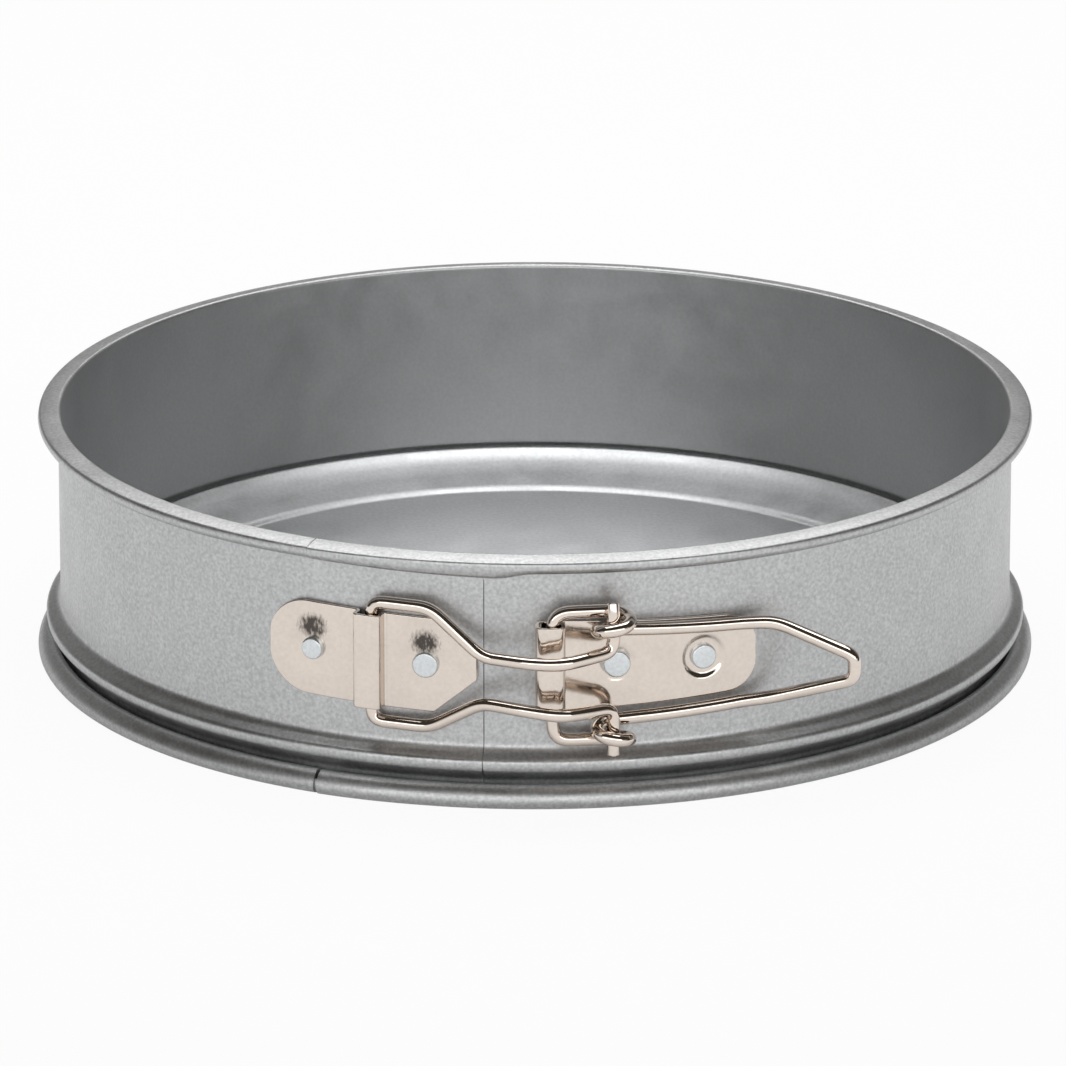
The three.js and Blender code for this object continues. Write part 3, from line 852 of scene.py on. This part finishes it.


# Painted dark reflections above the link bracket's rivets, where the dimples' upper slopes would mirror the
# shade by the tin's foot
dark_reflections = []
for rivet_name in ("link_rivet_outer", "link_rivet_inner"):
    rivet_s = RIVETS[rivet_name][0]
    above = on_wall(rivet_s, PLATE_TOP, link_rise(rivet_s) + DARK_REFLECTION_UP)
    dark_reflections.append((tuple(above * MM), DARK_REFLECTION_HALF[0] * MM, DARK_REFLECTION_HALF[1] * MM))
nickel_with_painted_reflections = metal_finish("nickel_with_painted_reflections", **PLATE_FINISH, dark_reflections=dark_reflections)
link_strip = strip(
    link_path, [link_half(s) for s, _ in link_fine], [link_rise(s) for s, _ in link_fine], dimple
)
link_plate = build("link_plate", [link_strip], nickel_with_painted_reflections)
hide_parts("link_bracket")
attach(link_plate, "left_half")

# Lever bracket: plate whose near end is rolled round the lever's pivot, from the roll's free edge on
lever_points = [
    (LEVER_PLATE_END_S, plate_mid),
    (ROLL_S[0], plate_mid),
    (ROLL_S[0], ROLL_H[1]),
    (ROLL_S[1], ROLL_H[1]),
    (ROLL_S[1], ROLL_H[0]),
]
lever_fine, lever_path = plate_path(lever_points, ROLL_BEND)


def lever_half(s, h):
    """Half height of the lever bracket: knuckle, then a slight taper to the round end."""
    if h > PLATE_TOP or s < ROLL_S[1]:
        return KNUCKLE_HALF
    taper = np.interp(s, [ROLL_S[1], LEVER_TAPER_S], [LEVER_PLATE_HALF, LEVER_END_HALF])
    return corner_height(LEVER_PLATE_END_S - s, LEVER_CORNER, taper)


lever_strip = strip(
    lever_path[::-1],
    [lever_half(s, h) for s, h in lever_fine[::-1]],
    [LEVER_RISE] * len(lever_fine),
    dimple,
)
lever_plate = build("lever_plate", [lever_strip], nickel_plate)
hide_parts("lever_bracket")
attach(lever_plate, "right_half")

# Lever wire: out of the knuckle, along an arm, once round the eye and on to the handle's tip
pivot = on_wall(KNUCKLE_S, KNUCKLE_H)
eye = pivot + np.array([EYE_RIGHT, -EYE_OUT, 0])
arm_turn = math.atan2(-EYE_OUT, EYE_RIGHT) + math.asin(EYE_R / math.hypot(EYE_RIGHT, EYE_OUT))
touch_turn = arm_turn + math.pi / 2
arm_end = eye + EYE_R * np.array([math.cos(touch_turn), math.sin(touch_turn), 0])
arm_end_s = WALL_OUT * math.atan2(arm_end[0], -arm_end[1])
tip = pivot + np.array([TIP_RIGHT, -TIP_OUT, 0])


def lever_side(side):
    """Upper (1) or lower (-1) half of the lever's wire, from the knuckle to the tip."""

    def lift(point, z):
        return np.array([point[0], point[1], LATCH_Z + side * z])

    def along(s, h):
        sag = (s - arm_end_s) / (HANDLE_BEND[0] - arm_end_s)
        return on_wall(s, h, side * (HANDLE_Z + (HANDLE_BEND_Z - HANDLE_Z) * sag))

    arm = rounded([lift(pivot, LEVER_END_Z), lift(pivot, ARM_Z), lift(arm_end, ARM_Z)], ARM_BEND)
    coil = []
    for t in np.linspace(0, 1, EYE_STEPS + 1)[1:-1]:
        a = touch_turn - 2 * math.pi * t
        point = eye + EYE_R * np.array([math.cos(a), math.sin(a), 0])
        coil.append(lift(point, ARM_Z + (HANDLE_Z - ARM_Z) * t))
    first_s = arm_end_s + HANDLE_FIRST * (HANDLE_REST_S - arm_end_s)
    rest = [along(s, HANDLE_H) for s in np.linspace(first_s, HANDLE_REST_S, HANDLE_POINTS)]
    ends = [along(*HANDLE_BEND), lift(tip, TIP_Z), lift(tip, 0)]
    handle = rounded([lift(arm_end, HANDLE_Z), *rest, *ends], HANDLE_ROUND)
    return np.vstack([arm, coil, handle])


lever_line = np.vstack([lever_side(1), lever_side(-1)[::-1][1:]])
lever_line = soften(even(lever_line, WIRE_STEP), WIRE_SOFT)
lever_wire = build("lever_wire", [tube(lever_line)], nickel_wire)
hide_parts("lever")
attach(lever_wire, "latch_lever")

# Draw link: cross-bar in the strap, legs drawn in to a waist, arched over the knuckle, through the eyes
link_pin = on_wall(LINK_PIN_S, PLATE_GAP + WIRE_R)
eye_s = WALL_OUT * math.atan2(eye[0], -eye[1])
eye_h = math.hypot(eye[0], eye[1]) - WALL_OUT
arch_s = KNUCKLE_S + KNUCKLE_R / 2


def link_side(side):
    """Upper (1) or lower (-1) half of the link's wire, from the cross-bar's middle to its end."""

    def leg(part):
        return side * (LINK_WAIST[2] + (LINK_END_Z - LINK_WAIST[2]) * part)

    wide = side * LINK_WIDE_Z + LINK_RISE
    lean = STUB_LEAN if side > 0 else 0
    return rounded(
        [
            link_pin,
            link_pin + np.array([0, 0, wide]),
            on_wall(*LINK_SHOULDER, wide),
            on_wall(LINK_WAIST[0], LINK_WAIST[1], leg(0)),
            on_wall(arch_s - 2 * KNUCKLE_R, LINK_ARCH_FOOT * LINK_ARCH_H, leg(0.2)),
            on_wall(arch_s, LINK_ARCH_H, leg(0.5)),
            on_wall((arch_s + eye_s) / 2, (LINK_ARCH_H + eye_h) / 2, leg(0.8)),
            on_wall(eye_s, eye_h, leg(1)),
            on_wall(eye_s, eye_h, side * STUB_BEND_Z),
            on_wall(eye_s, eye_h - lean, side * LINK_STUB_Z),
        ],
        LINK_ROUND,
    )


link_line = np.vstack([link_side(1)[::-1], link_side(-1)[1:]])
link_line = soften(even(link_line, WIRE_STEP), WIRE_SOFT)
link_wire = build("draw_link_wire", [tube(link_line)], nickel_wire)
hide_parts("draw_link")
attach(link_wire, "link")

# Rivets: low domed head in the dimple, shank, flat tail inside the wall
tail = -SHEET - TAIL_GAP
tail_outline = [
    (0.0, tail - TAIL_T),
    (TAIL_R - TAIL_BEVEL, tail - TAIL_T),
    (TAIL_R, tail - TAIL_T + TAIL_BEVEL),
    (TAIL_R, tail),
    (SHANK_R, tail),
]
for name, (s, head_r, _, deep, _) in RIVETS.items():
    base = PLATE_TOP - deep + RIVET_SEAT_GAP
    top = base + RIVET_T
    head = rounded([(head_r, base), (head_r, top - RIVET_DOME), (0.0, top)], RIVET_BEND)
    outline = np.vstack([tail_outline, [(SHANK_R, base)], head])
    seat = on_wall(s, 0, rivet_rise(s))
    out = on_wall(s, 1, rivet_rise(s)) - seat
    side = np.cross([0, 0, 1], out)
    turned = lathe(outline, RIVET_STEPS, (seat, out, side))
    rivet = build(name + "_head", [turned], rivet_alloy)
    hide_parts(name)
    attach(rivet, "left_half" if s < SEAM_S else "right_half")

# White table: to the camera it is mostly glow, and for the rest paper with the tin's soft shadow.
# It glows in reflections too, by radius and level, less near the tin: a painted shadow of the tin in what
# the metal mirrors.
TABLE_HALF = 4.0
TABLE_Z = -0.0002
TABLE_GLOW = 0.94
PAPER = 0.94
PAINTED_SHADOW_IN_REFLECTIONS = [(0.124, 0.2), (0.16, 0.8), (0.22, 1.0)]
table_corners = [(-1, -1), (1, -1), (1, 1), (-1, 1)]
table_mesh = bpy.data.meshes.new("table_top")
table_mesh.from_pydata(
    [(x * TABLE_HALF, y * TABLE_HALF, TABLE_Z) for x, y in table_corners], [], [(0, 1, 2, 3)]
)
table_top = bpy.data.objects.new("table_top", table_mesh)
bpy.context.scene.collection.objects.link(table_top)
table_look = bpy.data.materials.new("white_table")
nodes = Nodes(table_look)
rays = nodes.add("LightPath").outputs
place = nodes.add("TexCoord").outputs["Object"]
radius = nodes.add("VectorMath", {0: place}, operation="LENGTH").outputs["Value"]
# Painted shadow: the table's glow in reflections is lower near the tin
near = nodes.ramp(radius, [(reach, grey(level)) for reach, level in PAINTED_SHADOW_IN_REFLECTIONS])
bounce = nodes.combine("MAXIMUM", rays["Is Glossy Ray"], rays["Is Transmission Ray"])
mirrored = nodes.combine("MULTIPLY", near, bounce)
direct = nodes.combine("MULTIPLY", rays["Is Camera Ray"], TABLE_GLOW)
whiteness = nodes.combine("MAXIMUM", mirrored, direct)
paper = nodes.add("BsdfDiffuse", {"Color": grey(PAPER)})
glow = nodes.add("Emission", {"Color": grey(1.0), "Strength": 1.0})
mixed = nodes.add("MixShader", {0: whiteness, 1: paper.outputs[0], 2: glow.outputs[0]})
nodes.add("OutputMaterial", {"Surface": mixed.outputs[0]})
table_mesh.materials.append(table_look)

# Room: dim, with a faint backdrop behind the tin and a low white front; plain white to the camera.
# Spans are parts of the direction looked in: back or front by Y, height by Z.
ROOM = (0.045, 0.04, 0.034, 1.0)
SIDE_SPAN = (0.15, 0.6)
BACKDROP_LEVEL = 0.2
BACKDROP_HEIGHT = (0.5, 0.75)
FRONT_HEIGHT = (0.2, 0.3)
world = bpy.data.worlds.new("studio")
bpy.context.scene.world = world
nodes = Nodes(world)
direction = nodes.add("TexCoord").outputs["Generated"]
towards = nodes.add("SeparateXYZ", {"Vector": direction}).outputs
behind = nodes.fade(towards["Y"], SIDE_SPAN, 0.0, BACKDROP_LEVEL)
ahead = nodes.fade(nodes.combine("MULTIPLY", towards["Y"], -1.0), SIDE_SPAN, 0.0, 1.0)
backdrop = nodes.combine("MULTIPLY", behind, nodes.fade(towards["Z"], BACKDROP_HEIGHT, 1.0, 0.0))
white_front = nodes.combine("MULTIPLY", ahead, nodes.fade(towards["Z"], FRONT_HEIGHT, 1.0, 0.0))
camera_ray = nodes.add("LightPath").outputs["Is Camera Ray"]
white = nodes.combine("MAXIMUM", nodes.combine("MAXIMUM", backdrop, white_front), camera_ray)
room = nodes.ramp(white, [(0.0, ROOM), (1.0, grey(1.0))])
sky = nodes.add("Background", {"Color": room, "Strength": 1.0})
nodes.add("OutputWorld", {"Surface": sky.outputs[0]})


def soft_box(name, place, aim, width, depth, radiance):
    """Area lamp that glows evenly; its power follows from its size."""
    light = bpy.data.lights.new(name, "AREA")
    light.shape = "RECTANGLE"
    light.size = width
    light.size_y = depth
    light.energy = radiance * math.pi * width * depth
    box = bpy.data.objects.new(name, light)
    box.location = place
    box.rotation_mode = "QUATERNION"
    box.rotation_quaternion = (Vector(aim) - Vector(place)).to_track_quat("-Z", "Y")
    box.visible_camera = False
    bpy.context.scene.collection.objects.link(box)


# Soft boxes in a row above the tin, each with its place along Y, depth and radiance
TOP_LAMP_Z = 0.64
TOP_LAMP_WIDE = 0.7
TOP_LAMPS = {"top_box": (0.0, 0.26, 3.1), "fill_box": (0.26, 0.26, 0.75), "back_box": (0.58, 0.38, 2.8)}
for name, (y, depth, radiance) in TOP_LAMPS.items():
    soft_box(name, (0.0, y, TOP_LAMP_Z), (0.0, y, 0.0), TOP_LAMP_WIDE, depth, radiance)

# A wide soft box far in front and above the tin, which faces level
FRONT_LAMP_Y = -2.2
FRONT_LAMP_Z = 1.0
FRONT_LAMP_SIZE = (5.0, 0.9)
FRONT_RADIANCE = 2.0
front_aim = (0.0, 0.0, FRONT_LAMP_Z)
soft_box("front_box", (0.0, FRONT_LAMP_Y, FRONT_LAMP_Z), front_aim, *FRONT_LAMP_SIZE, FRONT_RADIANCE)

# Camera: a long lens in front of the latch, a little above the tin
VIEW_ELEVATION = 18.4
VIEW_DISTANCE = 2.62
AIM = Vector((-0.0005, 0.0, 0.0296))
SENSOR = 36.0
LENS = 348.0
CLIP = (0.05, 60.0)
camera_data = bpy.data.cameras.new("photo_camera")
camera_data.sensor_width = SENSOR
camera_data.lens = LENS
camera_data.clip_start, camera_data.clip_end = CLIP
camera = bpy.data.objects.new("photo_camera", camera_data)
elevation = math.radians(VIEW_ELEVATION)
back = Vector((0, -math.cos(elevation), math.sin(elevation)))
camera.location = AIM + back * VIEW_DISTANCE
camera.rotation_mode = "QUATERNION"
camera.rotation_quaternion = (-back).to_track_quat("-Z", "Y")
bpy.context.scene.collection.objects.link(camera)
bpy.context.scene.camera = camera
bpy.context.scene.view_settings.view_transform = "Standard"
